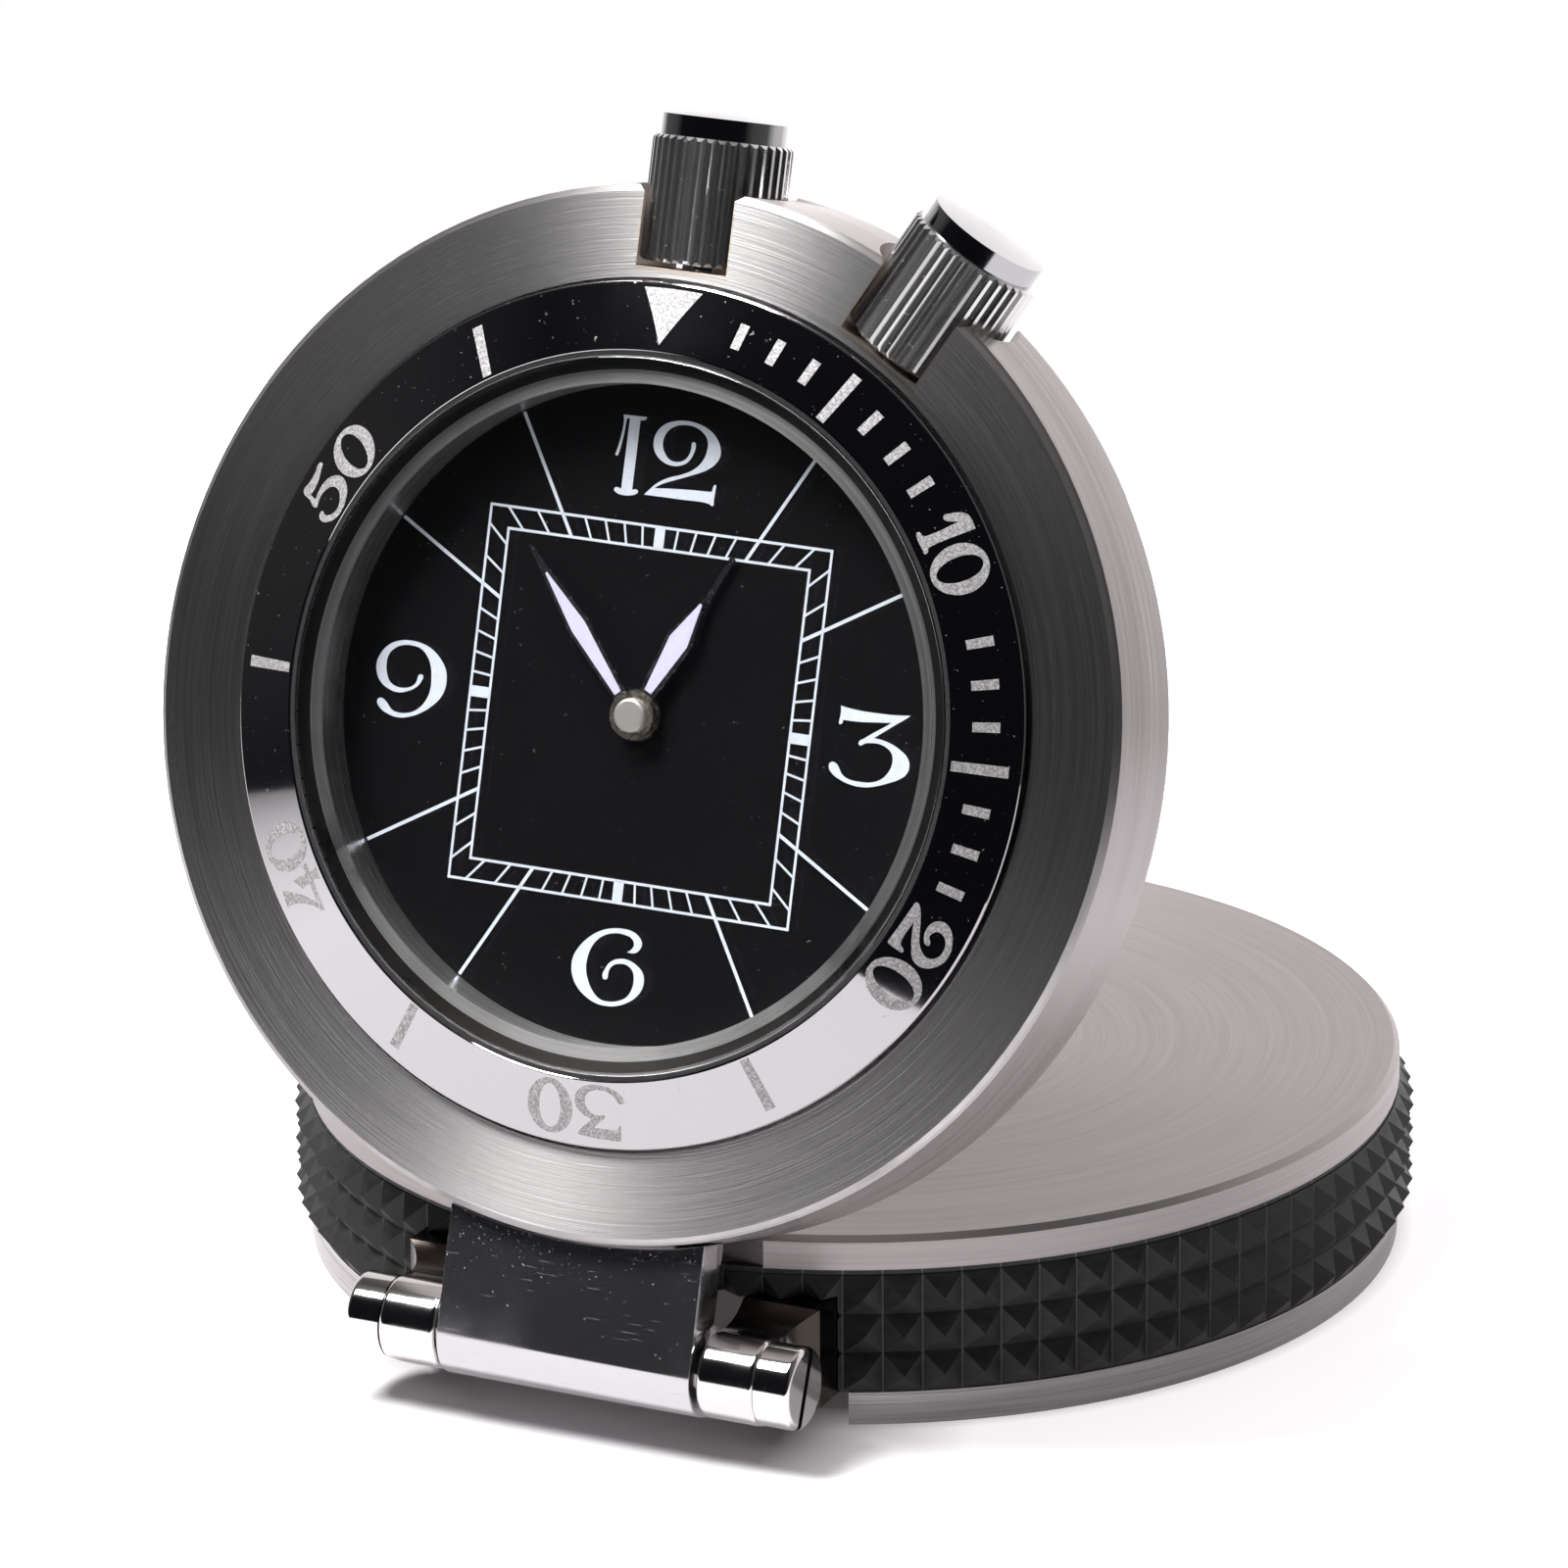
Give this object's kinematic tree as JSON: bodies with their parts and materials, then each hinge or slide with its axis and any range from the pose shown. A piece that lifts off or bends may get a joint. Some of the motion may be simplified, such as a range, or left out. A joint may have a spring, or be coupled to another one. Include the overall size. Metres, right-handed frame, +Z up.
{
  "type": "table clock",
  "caption": "Folding travel alarm clock: a round steel head with crowns leans back on a shallow cover with a studded rubber band, and folds into it",
  "frame": {"origin": "middle of the footprint of the standing clock, on the table plane", "axes": "+Z up, +X along the hinge toward the viewer's right, +Y away from the viewer, dial facing -Y and leaning back"},
  "size_m": [0.0668, 0.072, 0.0728],
  "materials": {
    "brushed_steel": "turned and satin brushed",
    "polished_steel": "mirror polished steel",
    "black_rubber": "semi-matt moulded rubber",
    "gasket_plastic": "translucent sealing ring",
    "clear_glass": "flat polished glass",
    "black_lacquer": "matt black lacquer",
    "holder_plastic": "moulded",
    "movement_metal": "plated, sealed unit",
    "wheel_brass": "gilt"
  },
  "bodies": {
    "cover": {"cover_plate": "brushed_steel", "cover_ring": "brushed_steel", "studded_band": "black_rubber", "hinge_lug_left": "polished_steel", "hinge_lug_right": "polished_steel", "lug_screws": "polished_steel", "hinge_pin": "polished_steel", "hinge_screws": "polished_steel"},
    "head": {"case": "brushed_steel", "bezel_ring": "polished_steel", "crystal": "clear_glass", "crystal_gasket": "gasket_plastic", "flange_ring": "polished_steel", "dial": "black_lacquer", "movement_holder": "holder_plastic", "movement": "movement_metal", "battery": "polished_steel", "buzzer_disc": "wheel_brass", "case_back": "brushed_steel", "case_back_gasket": "black_rubber", "case_back_screws": "polished_steel", "crown_tubes": "polished_steel", "hinge_leaf": "polished_steel", "leaf_screws": "polished_steel"},
    "minute_set": {"minute_hand": "black_lacquer", "hand_cap": "polished_steel", "minute_arbor": "polished_steel"},
    "hour_set": {"hour_hand": "black_lacquer", "hour_wheel": "wheel_brass"},
    "alarm_set": {"alarm_hand": "black_lacquer", "alarm_wheel": "wheel_brass"},
    "time_stem_set": {"time_stem": "polished_steel"},
    "time_crown_set": {"time_crown": "polished_steel", "time_crown_cap": "polished_steel"},
    "alarm_stem_set": {"alarm_stem": "polished_steel"},
    "alarm_crown_set": {"alarm_crown": "polished_steel", "alarm_crown_cap": "polished_steel"}
  },
  "joints": [
    {"name": "head_hinge", "type": "hinge", "parent": "cover", "child": "head", "pos_m": [0, -0.03352, 0.0048], "axis": [1, 0, 0], "range_deg": [0, 286.65]},
    {"name": "minute_hand_turn", "type": "hinge", "parent": "head", "child": "minute_set", "pos_m": [0, -0.02314, 0.03953], "axis": [0, 0.9581, -0.2865], "continuous": true},
    {"name": "hour_hand_turn", "type": "hinge", "parent": "head", "child": "hour_set", "pos_m": [0, -0.02314, 0.03953], "axis": [0, 0.9581, -0.2865], "continuous": true},
    {"name": "alarm_hand_turn", "type": "hinge", "parent": "head", "child": "alarm_set", "pos_m": [0, -0.02314, 0.03953], "axis": [0, 0.9581, -0.2865], "continuous": true},
    {"name": "time_crown_pull", "type": "slide", "parent": "head", "child": "time_stem_set", "axis": [0, 0.2865, 0.9581], "range_m": [0, 0.0012]},
    {"name": "time_crown_turn", "type": "hinge", "parent": "time_stem_set", "child": "time_crown_set", "pos_m": [0, -0.01483, 0.06731], "axis": [0, 0.2865, 0.9581], "continuous": true},
    {"name": "alarm_crown_pull", "type": "slide", "parent": "head", "child": "alarm_stem_set", "axis": [0.5, 0.2481, 0.8297], "range_m": [0, 0.0012]},
    {"name": "alarm_crown_turn", "type": "hinge", "parent": "alarm_stem_set", "child": "alarm_crown_set", "pos_m": [0.0145, -0.01594, 0.06359], "axis": [0.5, 0.2481, 0.8297], "continuous": true}
  ],
  "couplings": [
    {"joint": "hour_hand_turn", "follows": "minute_hand_turn", "ratio": 0.083333},
    {"joint": "alarm_hand_turn", "follows": "alarm_crown_turn", "ratio": 0.125}
  ]
}
